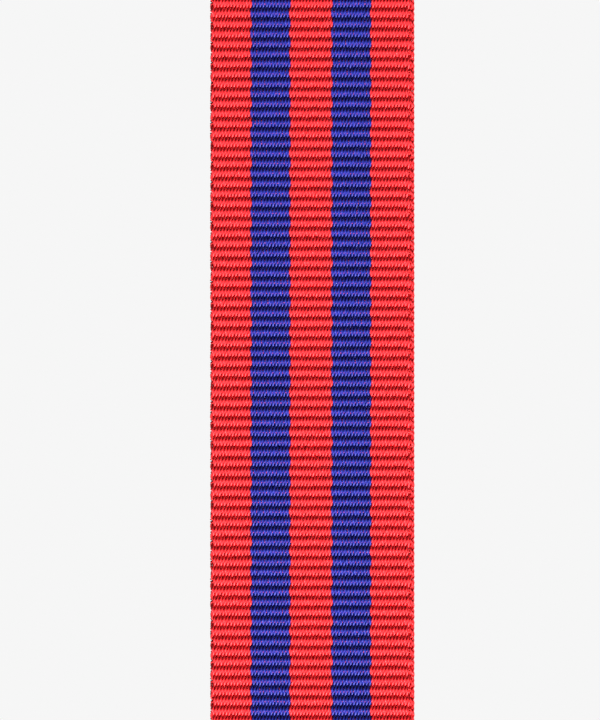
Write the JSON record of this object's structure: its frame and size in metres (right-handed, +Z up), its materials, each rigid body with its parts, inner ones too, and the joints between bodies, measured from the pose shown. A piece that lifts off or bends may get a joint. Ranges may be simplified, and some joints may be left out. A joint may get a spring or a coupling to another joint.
{
  "type": "striped medal ribbon",
  "caption": "Miniature-width striped medal ribbon in ribbed weave, red with two blue stripes, with turned and locked edges and cut ends; it bends between its ribs.",
  "frame": {"origin": "on the back of the ribbon at its top end, in the middle of the flat edge that is sewn or pinned on", "axes": "+Z up the ribbon, +Y out of its back towards what it is sewn to, +X towards its right edge seen from the front"},
  "size_m": [0.016, 0.0006, 0.0749],
  "materials": {
    "red_warp": "soft sheen, twisted yarn",
    "blue_warp": "soft sheen, twisted yarn",
    "red_weft": "matt, twisted yarn",
    "red_lock_thread": "soft sheen, knitted yarn"
  },
  "bodies": {
    "length_1": {"left_red_stripe_1": "red_warp", "left_blue_stripe_1": "blue_warp", "centre_red_stripe_1": "red_warp", "right_blue_stripe_1": "blue_warp", "right_red_stripe_1": "red_warp", "weft_1": "red_weft", "lock_thread_1": "red_lock_thread"},
    "length_2": {"left_red_stripe_2": "red_warp", "left_blue_stripe_2": "blue_warp", "centre_red_stripe_2": "red_warp", "right_blue_stripe_2": "blue_warp", "right_red_stripe_2": "red_warp", "weft_2": "red_weft", "lock_thread_2": "red_lock_thread"},
    "length_3": {"left_red_stripe_3": "red_warp", "left_blue_stripe_3": "blue_warp", "centre_red_stripe_3": "red_warp", "right_blue_stripe_3": "blue_warp", "right_red_stripe_3": "red_warp", "weft_3": "red_weft", "lock_thread_3": "red_lock_thread"},
    "length_4": {"left_red_stripe_4": "red_warp", "left_blue_stripe_4": "blue_warp", "centre_red_stripe_4": "red_warp", "right_blue_stripe_4": "blue_warp", "right_red_stripe_4": "red_warp", "weft_4": "red_weft", "lock_thread_4": "red_lock_thread"},
    "length_5": {"left_red_stripe_5": "red_warp", "left_blue_stripe_5": "blue_warp", "centre_red_stripe_5": "red_warp", "right_blue_stripe_5": "blue_warp", "right_red_stripe_5": "red_warp", "weft_5": "red_weft", "lock_thread_5": "red_lock_thread"},
    "length_6": {"left_red_stripe_6": "red_warp", "left_blue_stripe_6": "blue_warp", "centre_red_stripe_6": "red_warp", "right_blue_stripe_6": "blue_warp", "right_red_stripe_6": "red_warp", "weft_6": "red_weft", "lock_thread_6": "red_lock_thread"}
  },
  "joints": [
    {"name": "bend_1", "type": "hinge", "parent": "length_1", "child": "length_2", "pos_m": [0, -0.00029, -0.01229], "axis": [1, 0, 0], "range_deg": [-45, 45], "stiffness_Nm_per_rad": 0.000013},
    {"name": "bend_2", "type": "hinge", "parent": "length_2", "child": "length_3", "pos_m": [0, -0.00029, -0.02476], "axis": [1, 0, 0], "range_deg": [-45, 45], "stiffness_Nm_per_rad": 0.000013},
    {"name": "bend_3", "type": "hinge", "parent": "length_3", "child": "length_4", "pos_m": [0, -0.00029, -0.03725], "axis": [1, 0, 0], "range_deg": [-45, 45], "stiffness_Nm_per_rad": 0.000013},
    {"name": "bend_4", "type": "hinge", "parent": "length_4", "child": "length_5", "pos_m": [0, -0.00029, -0.04972], "axis": [1, 0, 0], "range_deg": [-45, 45], "stiffness_Nm_per_rad": 0.000013},
    {"name": "bend_5", "type": "hinge", "parent": "length_5", "child": "length_6", "pos_m": [0, -0.00029, -0.06221], "axis": [1, 0, 0], "range_deg": [-45, 45], "stiffness_Nm_per_rad": 0.000013}
  ]
}
